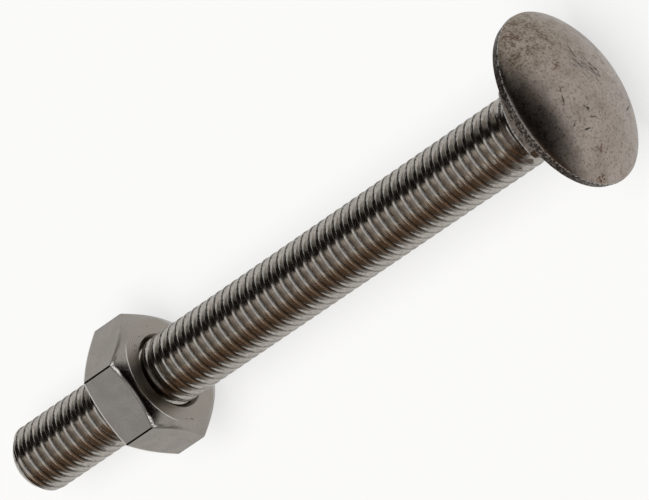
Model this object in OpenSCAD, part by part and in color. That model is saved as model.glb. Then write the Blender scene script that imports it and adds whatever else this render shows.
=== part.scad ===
// Fully threaded carriage bolt with a domed head, a square neck and a hexagon nut.
// The bolt lies as it comes to rest on a flat surface: on the rim of its head and
// on one flat of its nut. X runs from the threaded end towards the head, Z is up,
// and the origin is on that surface, below the middle of the part.

/* [Bolt] */
// Length under the head, from the bearing face to the threaded end
bolt_len = 100; // [60:1:160]

/* [Thread] */
// Outer diameter of the thread, over its crests
thread_d = 9.8; // [9:0.05:10]
// Distance from one crest to the next
pitch = 1.5; // [1.2:0.05:2]
// Radial depth from crest to root
thread_depth = 0.9; // [0.6:0.05:1]
// Width of the flat on each crest
crest_w = 0.3; // [0.1:0.05:0.5]
// Width of the flat at each root
root_w = 0.15; // [0.05:0.05:0.3]
// Turns over which the thread runs out towards the neck
run_out_turns = 0.75; // [0.5:0.25:2]
// Diameter of the land that the thread runs out to
land_d = 9; // [8.8:0.05:9.6]
// Diameter of the flat at the threaded end
end_d = 7.4; // [6:0.1:8.5]
// Angle of the cone at the threaded end, from the bolt's axis
end_cone = 40; // [30:1:60]
// Turn of the thread's start about the axis
thread_turn = 165; // [0:5:355]

/* [Head] */
// Diameter over the upper edge of the rim
head_d = 24.6; // [22:0.1:28]
// Diameter over the lower edge of the rim
head_low_d = 24.1; // [21:0.1:27]
// Height of the head above its bearing face
head_h = 5.5; // [4.5:0.1:7]
// Height of the rim below the dome
rim_h = 1.2; // [0.8:0.1:1.6]
// Radius that rounds the rim's two edges
rim_round = 0.25; // [0.1:0.05:0.35]

/* [Square neck] */
// Width across the flats of the square
neck_w = 10; // [9.6:0.1:11]
// Width across the rounded corners of the square
neck_corner_d = 13; // [12:0.1:13.5]
// Length of the square from the bearing face to the tips of its corners
neck_len = 5.6; // [5:0.1:8]
// Angle of the shoulder that ends the square, from the bolt's axis
shoulder_cone = 65; // [35:1:75]
// Diameter of the plain shank between the shoulder and the thread
shank_d = 8.4; // [8:0.1:8.6]
// Length of that plain shank
shank_len = 0.4; // [0.3:0.1:2]
// Turn of the square about the axis, from a flat that faces up
neck_turn = -13; // [-45:1:45]

/* [Nut] */
// Width across the flats
nut_af = 17; // [16:0.1:18]
// Height of the nut
nut_h = 7.3; // [6:0.1:8.5]
// Diameter of the flat bearing circle on each face
nut_face_d = 15.3; // [14:0.1:16.8]
// Angle of the chamfer on the corners, from the face
nut_chamfer = 20; // [15:1:35]
// Diameter of the countersink at each mouth of the bore
mouth_d = 10.9; // [10.3:0.1:12]
// Radial clearance of the bore over the crests of the bolt
nut_clearance = 0.05; // [0.02:0.01:0.1]
// Distance from the threaded end to the nut
nut_from_end = 19.8; // [2:0.1:40]

/* [Hidden] */
$fn = 96;
thread_r = thread_d / 2;
root_r = thread_r - thread_depth;
land_r = land_d / 2;
shank_r = shank_d / 2;
end_r = end_d / 2;

head_r = head_d / 2;
dome_h = head_h - rim_h;
dome_r = (head_r * head_r + dome_h * dome_h) / (2 * dome_h);

// The cone of the shoulder starts on the plain shank
shoulder_len = (neck_corner_d / 2 - shank_r) / tan(shoulder_cone);
thread_len = bolt_len - neck_len - shank_len;

nut_r = nut_af / sqrt(3);
bore_r = thread_r + nut_clearance;
mouth_depth = (mouth_d / 2 - bore_r) / tan(45);

// Resting place: the rim's upper edge and the outer edge of one flat touch the surface
rim_x = bolt_len + rim_h;
flat_x = nut_from_end + (nut_af - nut_face_d) / 2 * tan(nut_chamfer);
lie_angle = atan((head_r - nut_af / 2) / (rim_x - flat_x));
lie_z = head_r * cos(lie_angle) - rim_x * sin(lie_angle);
low_x = -end_r * sin(lie_angle);
high_x = (bolt_len + head_h - dome_r) * cos(lie_angle) + dome_r;
lie_x = -(low_x + high_x) / 2;

// One turn of the thread is cut into this many steps
steps = 20;
flank_w = (pitch - crest_w - root_w) / 2;
turns = floor((thread_len - root_w) / pitch) - 1;
// Axial places and radii of one pitch: root, root, crest, crest
profile_x = [0, root_w, root_w + flank_w, root_w + flank_w + crest_w];
profile_r = [root_r, root_r, thread_r, thread_r];
columns_len = 4 * turns + 1;

// Radius the cone at the end allows at a distance from the end
function cone_r(x) = end_r + x * tan(end_cone);

// Share of full thread depth left at a distance from the end
function depth_left(x) = min(1, max(0, (thread_len - pitch / 2 - x) / (run_out_turns * pitch)));

// Point number i of the thread in the column at step s of a turn
function thread_point(s, i) =
    let (angle = 360 * s / steps,
         x = root_w + pitch * (s / steps + floor(i / 4)) + profile_x[i % 4],
         full_r = profile_r[i % 4],
         r = min(land_r + (full_r - land_r) * depth_left(x), cone_r(x)))
    [x, r * cos(angle), r * sin(angle)];

// Ring of points around the axis
function ring(x, r) = [for (s = [0:steps - 1]) [x, r * cos(360 * s / steps), r * sin(360 * s / steps)]];

// Index of point i in the column at step s, which runs on into the next turn
function at(s, i) = s < steps ? s * columns_len + i : (s - steps) * columns_len + i + 4;

// Threaded shank as one helical skin, closed by a disc at each end
module threaded_shank() {
    low = steps * columns_len;
    high = low + steps;
    last = columns_len - 1;
    points = concat([for (s = [0:steps - 1], i = [0:last]) thread_point(s, i)],
                    ring(0, end_r),
                    ring(thread_len, land_r));
    // Helical skin between neighbouring columns; the last column meets the first one turn on
    skin = [for (s = [0:steps - 1], i = [0:s == steps - 1 ? last - 5 : last - 1], k = [0, 1])
        k == 0 ? [at(s, i), at(s, i + 1), at(s + 1, i)]
               : [at(s + 1, i), at(s, i + 1), at(s + 1, i + 1)]];
    // Strip from the end's disc to the start of the skin, and the step where a turn closes
    start = concat([for (s = [0:steps - 2], k = [0, 1])
                        k == 0 ? [low + s, at(s, 0), low + s + 1] : [low + s + 1, at(s, 0), at(s + 1, 0)]],
                   [[low + steps - 1, at(steps - 1, 0), low], [low, at(steps - 1, 0), at(0, 0)]],
                   [for (i = [0:3]) [at(0, i), at(steps - 1, 0), at(0, i + 1)]]);
    // The same at the neck's end
    finish = concat([for (s = [0:steps - 2], k = [0, 1])
                         k == 0 ? [high + s, high + s + 1, at(s, last)]
                                : [high + s + 1, at(s + 1, last), at(s, last)]],
                    [[high + steps - 1, high, at(steps - 1, last)], [high, at(0, last), at(steps - 1, last)]],
                    [for (i = [last - 4:last - 1]) [at(0, last), at(steps - 1, i), at(steps - 1, i + 1)]]);
    discs = [[for (s = [0:steps - 1]) low + s],
             [for (s = [steps - 1:-1:0]) high + s]];
    rotate([thread_turn, 0, 0]) polyhedron(points, concat(skin, start, finish, discs), convexity = 10);
}

// Half section of the head: flat bearing face, rounded rim and domed top
module head_section() {
    round_step = 15;
    intersection() {
        translate([0, head_h - dome_r]) circle(r = dome_r, $fn = 360);
        polygon(concat(
            [[0, head_h + 1], [0, 0]],
            [for (a = [-90:round_step:0])
                [head_low_d / 2 - rim_round + rim_round * cos(a), rim_round + rim_round * sin(a)]],
            [for (a = [0:round_step:30])
                [head_r - rim_round + rim_round * cos(a), rim_h - rim_round + rim_round * sin(a)]],
            [[head_r - head_h, head_h + 1]]));
    }
}

// Square neck with rounded corners, turned to a conical shoulder and a plain shank
// that starts inside the land of the thread
module square_neck() {
    start_z = -neck_len - shank_len - pitch / 5;
    intersection() {
        translate([0, 0, start_z]) linear_extrude(rim_h / 2 - start_z) intersection() {
            square(neck_w, center = true);
            circle(d = neck_corner_d);
        }
        rotate_extrude() polygon([
            [0, start_z], [shank_r, start_z], [shank_r, -neck_len],
            [neck_corner_d / 2 + 1, shoulder_len + 1 / tan(shoulder_cone) - neck_len],
            [neck_corner_d / 2 + 1, rim_h], [0, rim_h]]);
    }
}

// Places a piece drawn along the bolt's own axis as the part lies
module lying() {
    translate([lie_x, 0, lie_z]) rotate([0, -lie_angle, 0]) children();
}

module bolt() {
    color("#8f8b85") lying() {
        threaded_shank();
        translate([bolt_len, 0, 0]) rotate([0, 90, 0]) {
            rotate_extrude() head_section();
            rotate([0, 0, neck_turn]) square_neck();
        }
    }
}

// Section of the nut's blank: both faces chamfered towards the corners
module nut_blank() {
    drop = (nut_r - nut_face_d / 2) * tan(nut_chamfer);
    intersection() {
        cylinder(r = nut_r, h = nut_h, $fn = 6);
        rotate_extrude() polygon([
            [0, 0], [nut_face_d / 2, 0], [nut_r + 1, drop + tan(nut_chamfer)],
            [nut_r + 1, nut_h - drop - tan(nut_chamfer)], [nut_face_d / 2, nut_h], [0, nut_h]]);
    }
}

module hex_nut() {
    color("#a09d98") lying() translate([nut_from_end, 0, 0]) rotate([0, 90, 0])
        rotate([0, 0, 30]) difference() {
            nut_blank();
            rotate_extrude() polygon([
                [0, -1], [mouth_d / 2 + 1, -1], [bore_r, mouth_depth],
                [bore_r, nut_h - mouth_depth], [mouth_d / 2 + 1, nut_h + 1], [0, nut_h + 1]]);
        }
}

bolt();
hex_nut();
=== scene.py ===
"""Stainless carriage bolt with a hexagon nut on its thread, lying on a pale studio floor."""
import math
from functools import partial

import bmesh
import bpy
from mathutils import Matrix, Vector


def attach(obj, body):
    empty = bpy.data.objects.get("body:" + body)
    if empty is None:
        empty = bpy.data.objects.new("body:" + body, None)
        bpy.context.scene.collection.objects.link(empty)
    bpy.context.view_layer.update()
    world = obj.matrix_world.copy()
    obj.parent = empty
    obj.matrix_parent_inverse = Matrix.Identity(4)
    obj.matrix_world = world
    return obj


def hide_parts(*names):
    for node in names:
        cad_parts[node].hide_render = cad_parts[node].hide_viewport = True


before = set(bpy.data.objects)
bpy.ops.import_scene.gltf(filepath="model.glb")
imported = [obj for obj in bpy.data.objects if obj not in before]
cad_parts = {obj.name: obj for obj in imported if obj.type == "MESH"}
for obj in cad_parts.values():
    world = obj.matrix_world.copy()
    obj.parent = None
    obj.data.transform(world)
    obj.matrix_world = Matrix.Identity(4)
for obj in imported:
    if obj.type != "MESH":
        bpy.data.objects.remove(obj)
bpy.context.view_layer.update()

MM = 0.001
BOLT_BODY, NUT_BODY = "bolt", "nut"

# Sizes in millimetres, as the CAD model has them. X runs from the threaded end towards the head,
# and the radii and the other two directions are taken from the bolt's axis.
BOLT_LEN = 100.0
THREAD_R, ROOT_R, PITCH, THREAD_LEN, THREAD_TURN = 4.9, 4.0, 1.5, 94.0, math.radians(165)
END_R, END_CONE = 3.7, math.tan(math.radians(40))
SHANK_R = 4.2
HEAD_R, HEAD_LOW_R, HEAD_H, RIM_H = 12.3, 12.05, 5.5, 1.2
NECK_W, NECK_CORNER_R, NECK_LEN, NECK_TURN = 10.0, 6.5, 5.6, math.radians(-13)
SHOULDER_RISE = math.tan(math.radians(65))
NUT_AF, NUT_H, NUT_FACE_R, NUT_FROM_END = 17.0, 7.3, 7.65, 19.8
NUT_CHAMFER, MOUTH_R = math.tan(math.radians(20)), 5.45

# Where the head's dome, the neck's shoulder and the nut's front face begin
DOME_X, SHOULDER_X, NUT_FRONT_X = BOLT_LEN + RIM_H, BOLT_LEN - NECK_LEN, NUT_FROM_END + NUT_H

# Forms that only the scene has, in millimetres. Distances by which the end's edge, the rim and
# the dome stay inside the CAD model:
END_IN, RIM_IN, DOME_IN = 0.03, 0.015, 0.009
# The rim's rounding, and how far the dome is filled out from a ball's cap to half an ellipse
RIM_ROUND, DOME_FULL = 0.2, 0.3
# The land below the neck, and how far from it the thread starts and ends to run out
LAND_R, RUN_OUT_FROM, RUN_OUT_TO = 4.35, 0.9, 0.3
# The last turns are rolled on a slightly thicker blank: growth in radius, its start and its length
SWELL, SWELL_X, SWELL_LEN = 0.05, 82, 5
# How far the neck reaches into the shank and the head, and the width of its worn edges
NECK_INTO_SHANK, NECK_INTO_HEAD, NECK_EDGE = 0.2, 0.3, 0.16
# The nut's steeper chamfer towards the head, the play of its thread, and widths of its worn edges
NUT_FRONT_CHAMFER, THREAD_GAP = math.tan(math.radians(28)), 0.06
FRONT_EDGE, BACK_EDGE, CORNER_EDGE, FACE_EDGE = 0.45, 0.12, 0.15, 0.08

# The bolt lies on its rim and one flat of the nut, so its axis rises a little towards the head
FLAT_X = NUT_FROM_END + (NUT_AF / 2 - NUT_FACE_R) * NUT_CHAMFER
LIE_ANGLE = math.atan((HEAD_R - NUT_AF / 2) / (DOME_X - FLAT_X))
LIE_Z = HEAD_R * math.cos(LIE_ANGLE) - DOME_X * math.sin(LIE_ANGLE)
DOME_H = HEAD_H - RIM_H
DOME_R = (HEAD_R ** 2 + DOME_H ** 2) / (2 * DOME_H)
LOW_X = -END_R * math.sin(LIE_ANGLE)
HIGH_X = (BOLT_LEN + HEAD_H - DOME_R) * math.cos(LIE_ANGLE) + DOME_R
LIE = (Matrix.Scale(MM, 4) @ Matrix.Translation((-(LOW_X + HIGH_X) / 2, 0, LIE_Z))
       @ Matrix.Rotation(-LIE_ANGLE, 4, "Y"))


# ---- making meshes ----
def finish_piece(bm, name, body, material, cad_node):
    """Turns a mesh drawn along the bolt's own axis into a piece that lies where the CAD has it."""
    bm.transform(LIE)
    mesh = bpy.data.meshes.new(name)
    bm.to_mesh(mesh)
    bm.free()
    mesh.materials.append(material)
    piece = bpy.data.objects.new(name, mesh)
    bpy.context.scene.collection.objects.link(piece)
    shading = piece.modifiers.new("flat_faces", "WEIGHTED_NORMAL")
    shading.keep_sharp = True
    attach(piece, body)
    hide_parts(cad_node)
    return piece


def radius_of(vert):
    """Distance of a point from the bolt's axis."""
    return math.hypot(vert.co.y, vert.co.z)


def set_radius(vert, radius):
    """Moves a point straight out from the bolt's axis, or in, to a radius."""
    share = radius / radius_of(vert)
    vert.co.y *= share
    vert.co.z *= share


def share_of(value, start, length):
    """How far a value has come from a start over a length, from 0 to 1."""
    return min(1, max(0, (value - start) / length))


def chain(bm, points):
    """A line of edges through points given as (x, radius)."""
    verts = [bm.verts.new((x, r, 0)) for x, r in points]
    return verts + [bm.edges.new(pair) for pair in zip(verts, verts[1:])]


def turn(bm, points, steps):
    """Turns an outline of points (x, radius) once round the bolt's axis."""
    bmesh.ops.spin(bm, geom=chain(bm, points), cent=(0, 0, 0), axis=(1, 0, 0), angle=2 * math.pi,
                   steps=steps, use_merge=True)
    bmesh.ops.remove_doubles(bm, verts=bm.verts, dist=0.001)
    bmesh.ops.recalc_face_normals(bm, faces=bm.faces)


def cut(bm, point, normal, near=0.0, **cleared):
    """Cuts the mesh by a plane, clears a side of it and gives back the edges along the cut."""
    made = bmesh.ops.bisect_plane(bm, geom=bm.verts[:] + bm.edges[:] + bm.faces[:], dist=near,
                                  plane_co=point, plane_no=normal, **cleared)
    return [e for e in made["geom_cut"] if isinstance(e, bmesh.types.BMEdge)]


def cut_flat(bm, angle, distance, near=0.0):
    """Cuts a flat at a distance from the bolt's axis, turned about it from the side that faces up."""
    normal = Vector((0, -math.sin(angle), math.cos(angle)))
    rim = cut(bm, normal * distance, normal, near, clear_outer=True)
    bmesh.ops.edgeloop_fill(bm, edges=rim)


def folds(bm, angle):
    """Edges at which two faces meet at more than an angle in degrees."""
    return [e for e in bm.edges if len(e.link_faces) == 2 and e.calc_face_angle(0) > math.radians(angle)]


def smooth(bm, angle):
    """Smooth shading, with edges sharper than an angle in degrees kept crisp."""
    for face in bm.faces:
        face.smooth = True
    for edge in folds(bm, angle):
        edge.smooth = False


def arc(cx, cr, radius, start, end, steps):
    """Points (x, radius) on an arc, with angles in degrees from the outward direction to +X."""
    angles = [math.radians(start + (end - start) * i / steps) for i in range(steps + 1)]
    return [(cx + radius * math.sin(a), cr + radius * math.cos(a)) for a in angles]


# ---- threads ----
THREAD_STEPS = 48
# Place of the thread's first groove at the angle where the thread starts
GROOVE_X = 0.225


def half_profile(crest_r, root_r, half_crest, half_root, soft, crown, apex):
    """Half a pitch of the thread's outline, from the middle of a groove to the crest's reference line.
    The crest is crowned about an apex, at a distance from that line."""
    high = PITCH / 2 - half_crest
    slope = (crest_r - root_r) / (high - half_root)
    edge_r = crest_r - crown * (half_crest - apex) ** 2
    root = [(0, root_r), (half_root * 0.6, root_r + 0.01), (half_root + soft, root_r + soft * slope)]
    flank = [((half_root + high) / 2, (root_r + crest_r) / 2)]
    shoulder = [(high - 1.5 * soft, edge_r - 1.5 * soft * slope), (high - soft, edge_r - soft * slope),
                (high - soft * 0.35, edge_r - soft * slope * 0.5), (high, edge_r - soft * 0.35)]
    crest = [(PITCH / 2 - off, crest_r - crown * (off - apex) ** 2)
             for off in [half_crest * f for f in (0.8, 0.6, 0.4, 0.2, 0.0)]]
    return root + flank + shoulder + crest


def thread_profile(crest_r, root_r, before, after, soft, half_root=0.07, crown=0.0, apex=0.0):
    """One pitch of the thread's outline from groove to groove, as (x, radius), with a crest that
    reaches a little before and after its reference line, and softened edges."""
    first = half_profile(crest_r, root_r, before, half_root, soft, crown, apex)
    last = half_profile(crest_r, root_r, after, half_root, soft, crown, -apex)
    return first + [(PITCH - x, r) for x, r in reversed(last[:-1])]


def helical_skin(bm, profile, first, turns, doublings):
    """Screws one pitch of outline through some turns, and doubles them along the axis."""
    geom = chain(bm, profile)
    bmesh.ops.rotate(bm, verts=bm.verts, cent=(0, 0, 0), matrix=Matrix.Rotation(THREAD_TURN, 3, "X"))
    bmesh.ops.translate(bm, verts=bm.verts, vec=(GROOVE_X + first * PITCH, 0, 0))
    bmesh.ops.spin(bm, geom=geom, cent=(0, 0, 0), axis=(1, 0, 0), dvec=(PITCH / THREAD_STEPS, 0, 0),
                   angle=2 * math.pi * turns, steps=THREAD_STEPS * turns)
    for i in range(doublings):
        copy = bmesh.ops.duplicate(bm, geom=bm.verts[:] + bm.edges[:] + bm.faces[:])["geom"]
        verts = [g for g in copy if isinstance(g, bmesh.types.BMVert)]
        bmesh.ops.translate(bm, verts=verts, vec=(PITCH * turns * 2 ** i, 0, 0))
    bmesh.ops.remove_doubles(bm, verts=bm.verts, dist=0.002)


def make_thread(material):
    """The rolled thread from the coned end to the land below the neck."""
    bm = bmesh.new()
    profile = thread_profile(THREAD_R, ROOT_R, before=0.4, after=0.24, soft=0.06, crown=0.42, apex=0.22)
    helical_skin(bm, profile, first=-2, turns=9, doublings=3)
    for v in bm.verts:
        x, r = v.co.x, radius_of(v)
        left = share_of(THREAD_LEN - x, RUN_OUT_TO, RUN_OUT_FROM - RUN_OUT_TO)
        swell = SWELL * share_of(x, SWELL_X, SWELL_LEN) * max(0, (r - ROOT_R) / (THREAD_R - ROOT_R))
        cone_r = END_R - END_IN + max(x, 0) * END_CONE
        set_radius(v, min(LAND_R + (r + swell - LAND_R) * left, cone_r))
    for x, inner in ((0, True), (THREAD_LEN, False)):
        rim = cut(bm, (x, 0, 0), (1, 0, 0), clear_inner=inner, clear_outer=not inner)
        bmesh.ops.edgeloop_fill(bm, edges=rim)
    bmesh.ops.recalc_face_normals(bm, faces=bm.faces)
    smooth(bm, 62)
    finish_piece(bm, "threaded_shank", BOLT_BODY, material, "bolt")


# ---- head, neck and nut ----
def dome_x(r):
    """Height of the dome over the rim at a radius: a ball's cap, filled out a little near the rim."""
    ball = math.sqrt(DOME_R ** 2 - r ** 2) - (DOME_R - DOME_H)
    ellipse = DOME_H * math.sqrt(1 - (r / HEAD_R) ** 2)
    return ball + (ellipse - ball) * DOME_FULL


def make_head(material):
    """The domed head: flat underside, softened rim and a low dome."""
    bm = bmesh.new()
    rings, dome_edge_r = 32, HEAD_R - 0.06
    underside = [(BOLT_LEN, r) for r in (0, 3, 6, 9, 11)]
    low_edge = arc(BOLT_LEN + RIM_ROUND, HEAD_LOW_R - RIM_ROUND, RIM_ROUND, -90, 0, 4)
    high_edge = arc(DOME_X - RIM_ROUND, HEAD_R - RIM_IN - RIM_ROUND, RIM_ROUND, 0, 38, 4)
    radii = [dome_edge_r * math.cos(math.pi / 2 * i / rings) for i in range(rings)] + [0]
    dome = [(DOME_X - DOME_IN + dome_x(r), r) for r in radii]
    turn(bm, underside + low_edge + high_edge + dome, 128)
    smooth(bm, 60)
    finish_piece(bm, "domed_head", BOLT_BODY, material, "bolt")


def make_neck(material):
    """The square neck with rounded corners, its conical shoulder and the plain shank below."""
    bm = bmesh.new()
    start, end, cone_len = THREAD_LEN - NECK_INTO_SHANK, BOLT_LEN + NECK_INTO_HEAD, 1.3
    shank = [(start, 0), (start, SHANK_R), (SHOULDER_X - 0.1, SHANK_R)]
    cone = [(SHOULDER_X + s * cone_len, SHANK_R + s * cone_len * SHOULDER_RISE)
            for s in (0.04, 0.2, 0.4, 0.6, 0.8, 1.0)]
    turn(bm, shank + cone + [(end, cone[-1][1]), (end, 0)], 96)
    # Four flats and four corner facets cut the turned form to the forged square
    for k in range(4):
        cut_flat(bm, NECK_TURN + k * math.pi / 2, NECK_W / 2)
        cut_flat(bm, NECK_TURN + (k + 0.5) * math.pi / 2, NECK_CORNER_R)
    worn = [e for e in folds(bm, 18) if min(v.co.x for v in e.verts) > SHOULDER_X]
    bmesh.ops.bevel(bm, geom=worn, offset=NECK_EDGE, segments=3, profile=0.5, affect="EDGES", material=-1,
                    clamp_overlap=True)
    smooth(bm, 40)
    finish_piece(bm, "square_neck", BOLT_BODY, material, "bolt")


def nut_blank():
    """A turned ring with both chamfers, cut to a hexagon, its bore left open."""
    bm = bmesh.new()
    over_r, open_r = NUT_AF / math.sqrt(3) + 0.5, MOUTH_R + 0.2
    back_drop = (over_r - NUT_FACE_R) * NUT_CHAMFER
    front_drop = (over_r - NUT_FACE_R) * NUT_FRONT_CHAMFER
    turn(bm, [(NUT_FROM_END, open_r), (NUT_FROM_END, NUT_FACE_R), (NUT_FROM_END + back_drop, over_r),
              (NUT_FRONT_X - front_drop, over_r), (NUT_FRONT_X, NUT_FACE_R), (NUT_FRONT_X, open_r)], 144)
    for k in range(6):
        cut_flat(bm, math.radians(60 * k), NUT_AF / 2, near=0.001)
    bmesh.ops.recalc_face_normals(bm, faces=bm.faces)
    return bm


def weigh_worn_edges(bm):
    """Marks the blank's edges for wear: widest where the flats meet the chamfer that faces the head."""
    weight = bm.edges.layers.float.new("bevel_weight_edge")
    for edge in folds(bm, 9):
        xs = [v.co.x for v in edge.verts]
        if max(xs) - min(xs) > NUT_H / 2:
            width = CORNER_EDGE
        elif all(abs(radius_of(v) - NUT_FACE_R) < 0.05 for v in edge.verts):
            width = FACE_EDGE
        else:
            width = FRONT_EDGE if min(xs) > NUT_FROM_END + NUT_H / 2 else BACK_EDGE
        edge[weight] = width / FRONT_EDGE


def add_tapped_bore(bm):
    """A helical skin between the countersinks of the two mouths, bridged to the blank."""
    bore = bmesh.new()
    profile = thread_profile(THREAD_R + THREAD_GAP, ROOT_R + THREAD_GAP, before=0.45, after=0.3, soft=0.05)
    helical_skin(bore, profile, first=math.floor((NUT_FROM_END - GROOVE_X) / PITCH) - 1, turns=4, doublings=1)
    for v in bore.verts:
        depth = min(v.co.x - NUT_FROM_END, NUT_FRONT_X - v.co.x)
        set_radius(v, max(radius_of(v), MOUTH_R - max(depth, 0)))
    for x, inner in ((NUT_FROM_END, True), (NUT_FRONT_X, False)):
        cut(bore, (x, 0, 0), (1, 0, 0), clear_inner=inner, clear_outer=not inner)
    mesh = bpy.data.meshes.new("bore")
    bore.to_mesh(mesh)
    bore.free()
    bm.from_mesh(mesh)
    bpy.data.meshes.remove(mesh)
    open_edges = [e for e in bm.edges if len(e.link_faces) == 1]
    for x in (NUT_FROM_END, NUT_FRONT_X):
        mouth = [e for e in open_edges if all(abs(v.co.x - x) < 0.001 for v in e.verts)]
        bmesh.ops.bridge_loops(bm, edges=mouth)
    bmesh.ops.recalc_face_normals(bm, faces=bm.faces)


def make_nut(material):
    """The hexagon nut: chamfered and worn corners, countersunk mouths and a tapped bore."""
    bm = nut_blank()
    weigh_worn_edges(bm)
    add_tapped_bore(bm)
    smooth(bm, 30)
    weight = bm.edges.layers.float["bevel_weight_edge"]
    for edge in bm.edges:
        if edge[weight] > 0:
            edge.smooth = True
    nut = finish_piece(bm, "nut", NUT_BODY, material, "hex_nut")
    wear = nut.modifiers.new("worn_edges", "BEVEL")
    wear.limit_method = "WEIGHT"
    wear.width = FRONT_EDGE * MM
    wear.segments = 6
    wear.use_clamp_overlap = False
    nut.modifiers.move(len(nut.modifiers) - 1, 0)


# ---- materials ----
# Settings of the smooth step and of the colour mix
STEP, RGBA = {"interpolation_type": "SMOOTHSTEP"}, {"data_type": "RGBA"}


def linear(hex_colour):
    """An sRGB hex colour as linear red, green and blue, with full alpha."""
    parts = [int(hex_colour[i:i + 2], 16) / 255 for i in (1, 3, 5)]
    return [c / 12.92 if c <= 0.04045 else ((c + 0.055) / 1.055) ** 2.4 for c in parts] + [1.0]


def feed(socket, value):
    """Sets an input to a number or colour, or links another node or one of its sockets to it."""
    if isinstance(value, bpy.types.Node):
        value = next(s for s in value.outputs if s.enabled)
    if isinstance(value, bpy.types.NodeSocket):
        socket.id_data.links.new(value, socket)
    elif value is not None:
        socket.default_value = value


def add(tree, kind, *values, stops=(), **settings):
    """Adds a shader node with its settings and a ramp's stops, and feeds its open inputs in order."""
    made = tree.nodes.new("ShaderNode" + kind)
    for name, value in settings.items():
        setattr(made, name, value)
    for socket, value in zip([s for s in made.inputs if s.enabled], values):
        feed(socket, value)
    for i, (position, colour) in enumerate(stops):
        stop = made.color_ramp.elements[i] if i < 2 else made.color_ramp.elements.new(position)
        stop.position, stop.color = position, linear(colour)
    return made


def steel(name, colour, roughness):
    """A new metal material, with a plain tone for viewers that read no nodes. Gives back the material,
    what adds a node to it, its shader's inputs, and the bolt's own coordinates, whole and apart, and
    the distance from its axis, in millimetres."""
    material = bpy.data.materials.new(name)
    material.use_nodes = True
    node = partial(add, material.node_tree)
    shader = material.node_tree.nodes["Principled BSDF"].inputs
    shader["Base Color"].default_value = linear(colour)
    shader["Metallic"].default_value = 1.0
    shader["Roughness"].default_value = roughness
    own = node("Mapping", node("TexCoord").outputs["Object"], LIE.translation, (0, -LIE_ANGLE, 0),
               (MM, MM, MM), vector_type="TEXTURE")
    axes = node("SeparateXYZ", own).outputs
    radius = node("VectorMath", node("CombineXYZ", None, axes["Y"], axes["Z"]), operation="LENGTH")
    return material, node, shader, own, axes, radius


def coats(node, colour, *layers):
    """Lays coats over a colour, the lowest first: each has its mask, its strength and its colour."""
    colour = linear(colour)
    for mask, strength, tone in layers:
        part = node("Math", mask, strength, operation="MULTIPLY")
        colour = node("Mix", part, colour, linear(tone), **RGBA)
    return colour


def marks(node, own, x, places):
    """Short strokes and pits on a face that looks along the axis: each has its middle (y, z), its turn
    in degrees, and its length, width and strength."""
    reach, strongest = 50, None
    for y, z, angle, length, width, strength in places:
        near = node("Mapping", own, (x, y, z), (math.radians(angle), 0, 0),
                    (reach, length / 2, width * 0.8), vector_type="TEXTURE")
        away = node("VectorMath", near, operation="LENGTH")
        mark = node("MapRange", away, 1.0, 0.3, 0.0, strength, **STEP)
        strongest = mark if strongest is None else node("Math", strongest, mark, operation="MAXIMUM")
    return strongest


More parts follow.
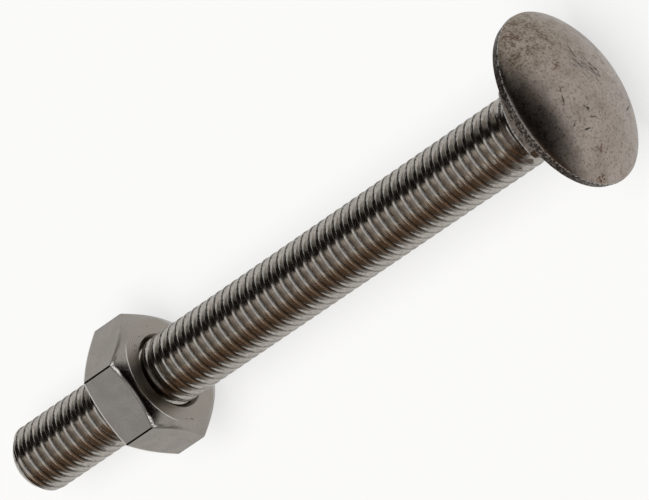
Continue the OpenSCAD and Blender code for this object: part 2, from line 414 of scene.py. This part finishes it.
def rolled_steel():
    """Austenitic stainless steel, thread rolled: burnished bright crests, each with the dark, ragged seam
    that the dies leave beside it, its darkness partly painted shade, silky flanks drawn out along the
    thread with a painted brown reflection near the top, and painted shade in the grooves."""
    material, node, shader, own, axes, radius = steel("stainless_rolled_thread", "#C2BCB4", 0.2)

    # Grain 0.25 mm wide: the real grain is near 0.02 mm and is drawn coarser so that it shows
    fine = node("TexNoise", own, 1 / 0.25)
    # Draw lines 0.7 mm long round the thread and 0.18 mm wide, also coarser than the real ones,
    # raggedness 0.4 mm and waves 1.3 mm across
    drawn = node("TexNoise", node("Mapping", own, (7, 7, 7), None, (0.175, 0.7, 0.7), vector_type="TEXTURE"),
                 1.0, 3.0)
    ragged = node("TexNoise", node("Mapping", own, (3, 3, 3), vector_type="TEXTURE"), 1 / 0.4)
    waves = node("TexNoise", node("Mapping", own, (9, 9, 9), vector_type="TEXTURE"), 1 / 1.3, 1.0)

    # Phase of the thread, from a groove (0) over the crest (0.5) to the next groove (1)
    turned = node("Math", axes["Z"], axes["Y"], operation="ARCTAN2")
    turned = node("Math", turned, THREAD_TURN, operation="SUBTRACT")
    turned = node("Math", turned, 2 * math.pi, operation="DIVIDE")
    along = node("Math", axes["X"], GROOVE_X, operation="SUBTRACT")
    along = node("Math", along, PITCH, operation="DIVIDE")
    phase = node("Math", along, turned, operation="SUBTRACT")
    phase = node("Math", phase, operation="FRACT")
    # The flat end carries none of the thread's pattern
    skin = node("MapRange", radius, END_R, END_R + 0.2, **STEP)

    # The seam lies 0.13 mm from the middle of the crest, towards the head, and has ragged edges
    seam_off, rag = 0.13, 0.2
    off_seam = node("Math", phase, PITCH, -PITCH / 2 - seam_off, operation="MULTIPLY_ADD")
    off_seam = node("Math", off_seam, operation="ABSOLUTE")
    off_seam = node("Math", off_seam, rag / 2, operation="SUBTRACT")
    off_seam = node("Math", ragged, rag, off_seam, operation="MULTIPLY_ADD")
    seam = node("MapRange", off_seam, 0.14, 0.06, **STEP)
    # It is broken by the grain. Its darkness is partly painted shade, set by which way it faces:
    # weaker near the top and the bottom, and weaker still on the -Y side
    upright = node("Math", axes["Z"], operation="ABSOLUTE")
    upright = node("Math", upright, THREAD_R, operation="DIVIDE")
    for limit in (node("MapRange", fine, 0.35, 0.55, 0.55, 1.0, **STEP), skin,
                  node("MapRange", upright, 0.91, 0.78, 0.7, 1.0, **STEP),
                  node("MapRange", axes["Y"], -4.4, -2.0, 0.45, 1.0, **STEP)):
        seam = node("Math", seam, limit, operation="MULTIPLY")

    # Distance from the middle of the crest, in millimetres
    off_crest = node("Math", phase, 0.5, operation="SUBTRACT")
    off_crest = node("Math", off_crest, operation="ABSOLUTE")
    off_crest = node("Math", off_crest, PITCH, operation="MULTIPLY")
    off_crest = node("Math", off_crest, skin, operation="MULTIPLY")
    # Painted shade in the grooves: they are painted a darker brown
    groove = node("MapRange", off_crest, 0.6, 0.74, **STEP)
    # Flanks near the top, and near the bottom as well: a painted brown reflection that darkens them
    flank = node("Math", node("MapRange", off_crest, 0.25, 0.35, **STEP),
                 node("MapRange", upright, 0.86, 0.97, **STEP), operation="MULTIPLY")

    feed(shader["Base Color"], coats(
        node, "#D0CCC6", (node("MapRange", drawn, 0.35, 0.7, **STEP), 1.0, "#BDB8B1"),
        (groove, 0.45, "#6E6358"), (flank, 0.6, "#8E7A64"), (seam, 0.92, "#241E1A")))
    rough = node("MapRange", drawn, 0.3, 0.7, 0.1, 0.17, **STEP)
    feed(shader["Roughness"], node("Math", seam, 0.3, rough, operation="MULTIPLY_ADD"))
    height = drawn
    for relief, share in ((fine, 0.5), (seam, -1.5), (waves, 2.0)):
        height = node("Math", relief, share, height, operation="MULTIPLY_ADD")
    feed(shader["Normal"], node("Bump", 1.0, 0.006 * MM, None, height))
    return material


# Handling scratches, pits and strokes on the dome, as (y, z, turn, length, width, strength)
DOME_MARKS = [
    (4.8, -0.8, 154, 2.0, 0.2, 0.7), (4.1, -0.5, 179, 1.5, 0.18, 0.7), (3.4, 0.2, 34, 1.3, 0.2, 0.8),
    (2.9, 0.9, 34, 1.2, 0.18, 0.7), (3.6, -2.1, 18, 1.6, 0.16, 0.6), (2.9, -2.1, 179, 1.7, 0.18, 0.6),
    (2.3, -0.0, 16, 1.2, 0.16, 0.6), (1.8, -2.3, 30, 1.7, 0.22, 0.9), (1.0, -2.6, 34, 1.6, 0.24, 1.0),
    (0.3, -2.0, 36, 1.6, 0.2, 0.9), (-0.1, -1.3, 10, 1.0, 0.18, 0.8), (3.0, 0.0, 0, 1.5, 0.18, 0.7),
    (1.2, -1.7, 4, 1.6, 0.22, 0.9), (0.3, -2.5, 167, 1.0, 0.2, 0.9), (0.2, 6.6, 158, 1.7, 0.18, 0.7),
    (1.4, 6.0, 151, 1.3, 0.16, 0.5), (-2.4, 3.8, 50, 0.8, 0.42, 1.0), (-2.0, 4.1, 43, 0.8, 0.18, 0.7),
    (-3.6, 3.7, 71, 2.1, 0.16, 0.7), (-3.5, 3.8, 150, 0.7, 0.16, 0.7), (-4.5, 5.4, 79, 1.5, 0.22, 0.9),
    (-5.3, -5.7, 98, 3.2, 0.24, 0.9), (-3.2, 7.1, 114, 0.6, 0.18, 0.7), (-8.5, -0.2, 57, 0.4, 0.3, 0.8),
    (-2.1, 7.2, 106, 0.8, 0.14, 0.5), (-1.2, 3.0, 150, 1.0, 0.14, 0.4), (-3.6, -2.9, 134, 2.5, 0.16, 0.3)]
# The patch that the scuffs cover, in the same form
DOME_SCUFFS = [(2.3, -0.9, 12, 5.6, 3.8, 1.0)]
# Rust-brown spots on the dome, in the same form
DOME_STAINS = [
    (4.4, 3.4, 134, 2.3, 0.9, 0.9), (4.1, 4.6, 138, 1.0, 0.7, 0.6), (1.5, 5.9, 153, 1.5, 0.8, 0.7),
    (-0.1, 6.7, 150, 1.6, 0.6, 0.6), (2.4, -4.8, 165, 0.9, 1.2, 0.9), (1.2, -6.0, 151, 1.6, 1.0, 0.7),
    (-7.4, 4.4, 53, 1.0, 1.2, 0.9), (-8.1, 3.5, 23, 0.5, 0.8, 0.9), (-7.1, 5.1, 15, 0.9, 1.0, 0.5),
    (-10.6, 5.2, 64, 2.9, 0.8, 1.0), (-3.4, 5.5, 32, 2.1, 1.2, 0.35), (10.1, 0.8, 139, 2.8, 2.2, 0.7),
    (9.7, 4.5, 166, 2.1, 1.6, 0.7), (8.7, 3.1, 164, 1.3, 1.6, 0.6), (8.0, 7.7, 176, 1.2, 1.4, 0.6),
    (8.2, 1.0, 153, 3.5, 1.6, 0.4), (8.6, -3.8, 156, 1.6, 1.2, 0.35), (5.8, -2.1, 6, 1.1, 1.0, 0.3)]
# Where along the axis the dome's marks lie
DOME_MARKS_X = 104


def forged_steel():
    """Stainless steel, cold headed and tumbled: a warm grey satin with an orange-peel grain, tea-coloured
    stains near one side, the scratches and pits of handling in bulk, and painted highlights on the
    rim's upper edge and on the neck's shoulder edge."""
    material, node, shader, own, axes, radius = steel("stainless_cold_headed", "#B2A79C", 0.28)

    # Orange peel 0.34 mm, blotches 1.5 mm and shades 6 mm across
    fine = node("TexNoise", own, 1 / 0.34, 3.0, 0.65)
    cloud = node("TexNoise", node("Mapping", own, (5, 5, 5), vector_type="TEXTURE"), 1 / 1.5, 4.0, 0.65)
    wide = node("TexNoise", node("Mapping", own, (11, 11, 11), vector_type="TEXTURE"), 1 / 6.0)
    # A scuffed patch of fine strokes 0.16 mm wide, all nearly one way
    strokes = node("TexNoise", node("Mapping", own, (2, 2, 2), (math.radians(24), 0, 0), (3.2, 1.44, 0.16),
                                    vector_type="TEXTURE"), 1.0, 1.0)
    scuffs = node("Math", marks(node, own, DOME_MARKS_X, DOME_SCUFFS),
                  node("MapRange", strokes, 0.56, 0.64, **STEP), operation="MULTIPLY")
    scratches = node("Math", marks(node, own, DOME_MARKS_X, DOME_MARKS),
                     node("MapRange", fine, 0.3, 0.5, 0.5, 1.0, **STEP), operation="MULTIPLY")
    scratches = node("Math", scratches, node("Math", scuffs, 0.7, operation="MULTIPLY"), operation="MAXIMUM")

    # Rim and neck were never polished: darker and coarser than the dome, the rim most of all
    raw = node("MapRange", axes["X"], DOME_X + 0.1, DOME_X - 0.1, **STEP)
    rim = node("Math", raw, node("MapRange", radius, 11.2, 11.7, **STEP), operation="MULTIPLY")
    raw_dark = node("Math", raw, node("MapRange", fine, 0.4, 0.6, 0.75, 0.1, **STEP), operation="MULTIPLY")
    rim_dark = node("Math", rim, node("MapRange", fine, 0.5, 0.62, 0.8, 0.0, **STEP), operation="MULTIPLY")

    # The rim's upper edge gets a painted highlight, white in broken dashes
    edge = node("Math", axes["X"], DOME_X - 0.02, operation="SUBTRACT")
    edge = node("Math", edge, operation="ABSOLUTE")
    edge = node("MapRange", edge, 0.14, 0.06, **STEP)
    edge = node("Math", edge, node("MapRange", radius, 12.0, 12.1, **STEP), operation="MULTIPLY")
    edge = node("Math", edge, node("MapRange", fine, 0.42, 0.54, **STEP), operation="MULTIPLY")
    # So does the edge between the neck's flats and its conical shoulder
    square = node("SeparateXYZ", node("Mapping", own, None, (-NECK_TURN, 0, 0))).outputs
    flat = node("Math", node("Math", square["Y"], operation="ABSOLUTE"),
                node("Math", square["Z"], operation="ABSOLUTE"), operation="MAXIMUM")
    flat = node("MapRange", flat, NECK_W / 2 - 0.16, NECK_W / 2 - 0.06, **STEP)
    cone = node("Math", axes["X"], SHOULDER_RISE, SHANK_R - SHOULDER_X * SHOULDER_RISE,
                operation="MULTIPLY_ADD")
    off_cone = node("Math", radius, cone, operation="SUBTRACT")
    off_cone = node("Math", off_cone, operation="ABSOLUTE")
    worn = node("Math", flat, node("MapRange", off_cone, 0.5, 0.25, **STEP), operation="MULTIPLY")
    worn = node("Math", worn, node("MapRange", fine, 0.35, 0.5, **STEP), operation="MULTIPLY")
    edge = node("Math", edge, worn, operation="MAXIMUM")

    # Tea-coloured stains over one side, and the spots
    side = node("Math", node("MapRange", axes["Y"], 3.0, 9.0, **STEP),
                node("MapRange", axes["Z"], -5.0, 0.0, **STEP), operation="MULTIPLY")
    stained = node("Math", side, node("MapRange", cloud, 0.38, 0.6, **STEP), operation="MULTIPLY")
    stained = node("Math", stained, node("MapRange", fine, 0.4, 0.58, **STEP), operation="MULTIPLY")
    spots = node("Math", marks(node, own, DOME_MARKS_X, DOME_STAINS),
                 node("MapRange", fine, 0.4, 0.56, 0.05, 1.0, **STEP), operation="MULTIPLY")

    feed(shader["Base Color"], coats(
        node, "#C6BBB3", (node("MapRange", wide, 0.3, 0.7, **STEP), 1.0, "#B9AEA5"),
        (node("MapRange", cloud, 0.45, 0.75, **STEP), 0.5, "#9A8B7A"),
        (node("MapRange", fine, 0.48, 0.66, **STEP), 0.65, "#7E7266"), (side, 0.3, "#94866F"),
        (stained, 0.7, "#665740"), (spots, 0.85, "#664A36"), (scratches, 0.95, "#1E1A18"),
        (raw_dark, 1.0, "#3A3430"), (rim_dark, 1.0, "#1C1715"), (edge, 1.0, "#FFFFFF")))
    rough = node("MapRange", cloud, 0.3, 0.7, 0.24, 0.34, **STEP)
    rough = node("Math", raw, 0.12, rough, operation="MULTIPLY_ADD")
    torn = node("Math", node("Math", scratches, 0.2, operation="MULTIPLY"),
                node("Math", edge, 0.35, operation="MULTIPLY"), operation="MAXIMUM")
    feed(shader["Roughness"], node("Math", rough, torn, operation="ADD"))
    height = node("Math", fine, node("MapRange", raw, 0.0, 1.0, 0.5, 2.5, **STEP), operation="MULTIPLY")
    for relief, share in ((cloud, 0.8), (scratches, -4.0)):
        height = node("Math", relief, share, height, operation="MULTIPLY_ADD")
    feed(shader["Normal"], node("Bump", 1.0, 0.008 * MM, None, height))
    return material


# Small pits and strokes on the nut's bearing face, in the same form as the dome's marks
NUT_MARKS = [
    (5.2, 3.2, 30, 0.7, 0.14, 0.8), (4.6, 3.9, 40, 0.5, 0.14, 0.8), (5.9, 1.4, 80, 0.5, 0.16, 0.8),
    (5.7, 0.6, 70, 0.3, 0.2, 0.7), (-6.9, 2.0, 60, 0.8, 0.2, 0.8), (-6.5, 2.9, 60, 1.4, 0.12, 0.5),
    (6.5, -1.4, 20, 0.6, 0.12, 0.6)]


def nut_steel():
    """Stainless steel, cold formed with its faces turned: satin flats with a fine even grain, and a bearing
    face with the faint rings of the cutting tool, a little browner than the flats. Painted highlights lie on
    the edge of the back chamfer, the top of the bearing circle and the burrs; painted shade lies along the
    corners and in the bore."""
    material, node, shader, own, axes, radius = steel("stainless_nut_turned", "#B0ABA5", 0.24)

    # Grain 0.25 mm wide, coarser than the real one so that it shows, and shades 2.2 mm across
    fine = node("TexNoise", own, 1 / 0.25)
    cloud = node("TexNoise", node("Mapping", own, (4, 4, 4), vector_type="TEXTURE"), 1 / 2.2)

    # Turned front face, with rings 0.28 mm apart: the tool's feed is nearer 0.1 mm and is drawn
    # coarser so that it shows
    face = node("Math", node("MapRange", radius, NUT_FACE_R + 0.05, NUT_FACE_R - 0.15, **STEP),
                node("MapRange", axes["X"], NUT_FRONT_X - 0.25, NUT_FRONT_X - 0.05, **STEP),
                operation="MULTIPLY")
    rings = node("Math", cloud, 0.12, radius, operation="MULTIPLY_ADD")
    rings = node("Math", rings, 2 * math.pi / 0.28, operation="MULTIPLY")
    rings = node("Math", rings, operation="SINE")
    rings = node("Math", rings, face, operation="MULTIPLY")
    ring_dark = node("Math", rings, 0.16, 0.16, operation="MULTIPLY_ADD")
    ring_dark = node("Math", face, ring_dark, operation="MULTIPLY")
    dents = marks(node, own, NUT_FRONT_X, NUT_MARKS)
    # Painted shade in the bore and the inner part of its mouths, a darker brown
    bore = node("MapRange", radius, MOUTH_R + 0.05, MOUTH_R - 0.25, **STEP)

    # Distance along the axis from the chamfer that faces the threaded end, whose edge gets a painted highlight
    ahead = node("Math", radius, NUT_CHAMFER, NUT_FROM_END - NUT_FACE_R * NUT_CHAMFER, operation="MULTIPLY_ADD")
    ahead = node("Math", axes["X"], ahead, operation="SUBTRACT")
    edge_highlight = node("Math", node("MapRange", ahead, 0.0, 0.04, **STEP),
                  node("MapRange", ahead, 0.26, 0.16, **STEP), operation="MULTIPLY")
    edge_highlight = node("Math", edge_highlight, node("MapRange", radius, 8.2, 8.4, **STEP), operation="MULTIPLY")
    # So does the upper part of the bearing circle
    circle_highlight = node("Math", radius, NUT_FACE_R - 0.02, operation="SUBTRACT")
    circle_highlight = node("Math", circle_highlight, operation="ABSOLUTE")
    circle_highlight = node("Math", node("MapRange", circle_highlight, 0.09, 0.04, **STEP),
                  node("MapRange", axes["Z"], 4.0, 6.0, **STEP), operation="MULTIPLY")
    edge_highlight = node("Math", edge_highlight, circle_highlight, operation="MAXIMUM")
    # Painted shade along the six corners: dark lines on their rounded edges
    corner_shade = node("Math", node("MapRange", radius, 9.72, 9.745, **STEP),
                  node("MapRange", ahead, 0.1, 0.25, **STEP), operation="MULTIPLY")
    # Painted glints on burrs, white and broken, on the worn edge that faces the head, only at the two corners
    # that point up
    burr_glint = node("Math", radius, -NUT_FRONT_CHAMFER, NUT_FRONT_X + NUT_FACE_R * NUT_FRONT_CHAMFER,
                operation="MULTIPLY_ADD")
    burr_glint = node("Math", burr_glint, axes["X"], operation="SUBTRACT")
    burr_glint = node("Math", burr_glint, 0.12, operation="SUBTRACT")
    burr_glint = node("Math", burr_glint, operation="ABSOLUTE")
    burr_glint = node("MapRange", burr_glint, 0.13, 0.06, **STEP)
    for limit in (node("MapRange", radius, 8.75, 9.15, **STEP),
                  node("MapRange", fine, 0.38, 0.5, 0.1, 1.0, **STEP),
                  node("MapRange", axes["Z"], 7.7, 8.1, **STEP)):
        burr_glint = node("Math", burr_glint, limit, operation="MULTIPLY")
    # The front chamfer is burnished by the forming die, so it is glossier than the flats
    chamfer = node("Math", node("MapRange", radius, NUT_FACE_R - 0.05, NUT_FACE_R + 0.1, **STEP),
                   node("MapRange", axes["X"], NUT_FRONT_X - 1.4, NUT_FRONT_X - 0.8, **STEP),
                   operation="MULTIPLY")

    feed(shader["Base Color"], coats(
        node, "#B4AFA9", (node("MapRange", cloud, 0.3, 0.7, **STEP), 1.0, "#ABA6A0"),
        (node("MapRange", fine, 0.4, 0.8, **STEP), 0.3, "#8F8A84"), (face, 0.8, "#C6C0B8"),
        (ring_dark, 1.0, "#6E675E"), (dents, 0.8, "#38302A"), (bore, 0.6, "#84735F"),
        (edge_highlight, 1.0, "#F4F2EE"), (corner_shade, 1.0, "#120E0D"), (burr_glint, 1.0, "#F8F6F2")))
    # The painted glints on the burrs' torn faces are less metallic, so they scatter light every way
    feed(shader["Metallic"], node("Math", burr_glint, -0.75, 1.0, operation="MULTIPLY_ADD"))
    rough = node("MapRange", fine, 0.3, 0.7, 0.21, 0.27, **STEP)
    for mask, share in ((face, 0.14), (chamfer, -0.1)):
        rough = node("Math", mask, share, rough, operation="MULTIPLY_ADD")
    torn = node("Math", node("Math", burr_glint, 0.35, operation="MULTIPLY"),
                node("Math", bore, 0.15, operation="MULTIPLY"), operation="MAXIMUM")
    feed(shader["Roughness"], node("Math", rough, torn, operation="ADD"))
    height = node("Math", fine, 0.12, operation="MULTIPLY")
    for relief, share in ((rings, 0.3), (dents, -3.0)):
        height = node("Math", relief, share, height, operation="MULTIPLY_ADD")
    feed(shader["Normal"], node("Bump", 1.0, 0.006 * MM, None, height))
    return material


make_thread(rolled_steel())
forged = forged_steel()
make_head(forged)
make_neck(forged)
make_nut(nut_steel())

# ---- floor ----
scene = bpy.context.scene
scene.view_settings.view_transform = "Standard"

# Tone of the floor as the steel mirrors it, and the tones that it falls to at the sides and beyond
# the head, with the distances in metres between which it does
FLOOR_TONE = "#CECCCA"
SIDE_TONE, SIDE_FALL = "#8C8A88", (0.028, 0.1)
FAR_TONE, FAR_FALL = "#0C0908", (0.125, 0.25)
# Share of even white in what the camera sees of the floor; the rest is paint, which shows the shadow
EVEN_WHITE = 0.7
FLOOR_HALF, FLOOR_DROP = 3.0, 0.00002

floor_mesh = bpy.data.meshes.new("floor")
floor_bm = bmesh.new()
bmesh.ops.create_grid(floor_bm, x_segments=1, y_segments=1, size=FLOOR_HALF)
floor_bm.to_mesh(floor_mesh)
floor_bm.free()
floor = bpy.data.objects.new("floor", floor_mesh)
scene.collection.objects.link(floor)
floor.location.z = -FLOOR_DROP
floor_paint = bpy.data.materials.new("pale_floor")
floor_paint.use_nodes = True
tree = floor_paint.node_tree
node = partial(add, tree)
paint = tree.nodes["Principled BSDF"]
paint.inputs["Base Color"].default_value = linear("#F4F4F2")
paint.inputs["Roughness"].default_value = 0.9
paint.inputs["Specular IOR Level"].default_value = 0.0
ray = node("LightPath").outputs
mirrored = node("Math", ray["Is Glossy Ray"], ray["Is Transmission Ray"], operation="MAXIMUM")
direct = node("Math", ray["Is Camera Ray"], mirrored, operation="MAXIMUM")
share = node("Math", direct, EVEN_WHITE, operation="MULTIPLY")
share = node("Math", mirrored, 1 - EVEN_WHITE, share, operation="MULTIPLY_ADD")
place = node("SeparateXYZ", node("TexCoord").outputs["Object"]).outputs
aside = node("Math", place["Y"], operation="ABSOLUTE")
# The sides fall off beside the threaded half, and less and less up to 60 mm past the middle
beside = node("Math", node("MapRange", aside, *SIDE_FALL, **STEP),
              node("MapRange", place["X"], 0.06, 0.0, **STEP), operation="MULTIPLY")
pale = node("Mix", beside, linear(FLOOR_TONE), linear(SIDE_TONE), **RGBA)
pale = node("Mix", node("MapRange", place["X"], *FAR_FALL, **STEP), pale, linear(FAR_TONE), **RGBA)
glow = node("Mix", mirrored, linear("#FFFFFF"), pale, **RGBA)
feed(tree.nodes["Material Output"].inputs["Surface"],
     node("MixShader", share, paint, node("Emission", glow, 1.0)))
floor_mesh.materials.append(floor_paint)

# ---- the room that the steel mirrors ----
# Tones from the horizon on the +Y side (0), over the top (0.5), to the horizon at -Y (1): a dark
# screen and a brown wall beside the bolt, and a pale ceiling between them
ARCH_TONES = [
    (0.0, "#8C8A88"), (1.0, "#7E7B78"), (0.033, "#7A7876"), (0.066, "#1E1715"), (0.255, "#1E1715"),
    (0.305, "#DAD6D2"), (0.37, "#CECCC9"), (0.44, "#BEBDBD"), (0.56, "#BEBDBD"), (0.6, "#D2CEC9"),
    (0.64, "#B4A89C"), (0.69, "#7E6550"), (0.92, "#6A5544"), (0.965, "#6E655D")]
ROOM_DARK, ROOM_STRIP = "#120E0C", "#B4B2B0"
# Bright openings: two low ones behind the threaded end and one overhead, each with its direction
# and the angles in degrees from its middle at which it is full and gone
LAMPS = [((-0.86, 0.25, 0.44), 6, 13), ((-0.85, -0.34, 0.4), 6, 14), ((0.12, 0.0, 0.99), 5, 9)]

world = bpy.data.worlds.new("studio")
scene.world = world
world.use_nodes = True
world.node_tree.nodes.clear()
node = partial(add, world.node_tree)
way_vector = node("TexCoord").outputs["Generated"]
way = node("SeparateXYZ", way_vector).outputs
around = node("Math", way["Z"], way["Y"], operation="ARCTAN2")
around = node("Math", around, math.pi, operation="DIVIDE")
arch = node("ValToRGB", around, stops=ARCH_TONES)
# The pale table goes on behind the threaded end, low down
table = node("MapRange", way["X"], -0.78, -0.88, **STEP)
for limit in (node("MapRange", way["Y"], 0.2, 0.0, **STEP), node("MapRange", way["Z"], 0.42, 0.3, **STEP)):
    table = node("Math", table, limit, operation="MULTIPLY")
# Darkness towards the head's end of the room, and about half as much from its middle on,
# with a pale strip low on both sides
dark = node("Math", node("MapRange", way["X"], -0.48, -0.14, 0.0, 0.55, **STEP),
            node("MapRange", way["X"], 0.1, 0.75, **STEP), operation="MAXIMUM")
aside = node("Math", way["Y"], operation="ABSOLUTE")
strip = node("Math", node("MapRange", aside, 0.35, 0.6, **STEP),
             node("MapRange", way["Z"], 0.15, 0.05, **STEP), operation="MULTIPLY")
walls = node("Mix", strip, linear(ROOM_DARK), linear(ROOM_STRIP), **RGBA)
room = node("Mix", dark, node("Mix", table, arch, linear(FLOOR_TONE), **RGBA), walls, **RGBA)
for lamp_way, full, gone in LAMPS:
    toward = node("VectorMath", way_vector, lamp_way, operation="DOT_PRODUCT")
    bright = node("MapRange", toward, math.cos(math.radians(gone)), math.cos(math.radians(full)), **STEP)
    room = node("Mix", bright, room, linear("#FFFFFF"), **RGBA)
seen = node("Mix", node("LightPath").outputs["Is Camera Ray"], room, linear("#FFFFFF"), **RGBA)
node("OutputWorld", node("Background", seen, 1.0))

# A wide soft lamp overhead lights the floor; the steel mirrors the room and not the lamp
lamp_data = bpy.data.lights.new("overhead_lamp", "AREA")
lamp_data.shape = "DISK"
lamp_data.size = 1.4
lamp_data.energy = 20
lamp = bpy.data.objects.new("overhead_lamp", lamp_data)
lamp.location = (0.1, 0.1, 1.5)
lamp.visible_glossy = False
scene.collection.objects.link(lamp)

# ---- camera ----
# Fitted to the bolt's outlines: its own three directions and its threaded end, in millimetres, as
# the camera has them, and the focal length in pixels of a picture 649 wide
AXIS = Vector((0.682835, 0.467977, 0.561011))
SIDE = Vector((-0.565320, 0.824871, 0.0))
UP = Vector((-0.462762, -0.317151, 0.827808))
END_AT = Vector((-38.804, -28.435, -846.551))
FOCAL_PX, PICTURE_PX, SENSOR = 6346.6, 649, 36

aim = Matrix((AXIS, SIDE, UP)).to_4x4()
camera_data = bpy.data.cameras.new("camera")
camera_data.sensor_width = SENSOR
camera_data.lens = SENSOR * FOCAL_PX / PICTURE_PX
camera_data.clip_end = 20
camera = bpy.data.objects.new("camera", camera_data)
scene.collection.objects.link(camera)
stand = LIE @ Matrix.Translation(aim @ (-END_AT)) @ aim
camera.matrix_world = Matrix.LocRotScale(stand.to_translation(), stand.to_quaternion(), None)
scene.camera = camera
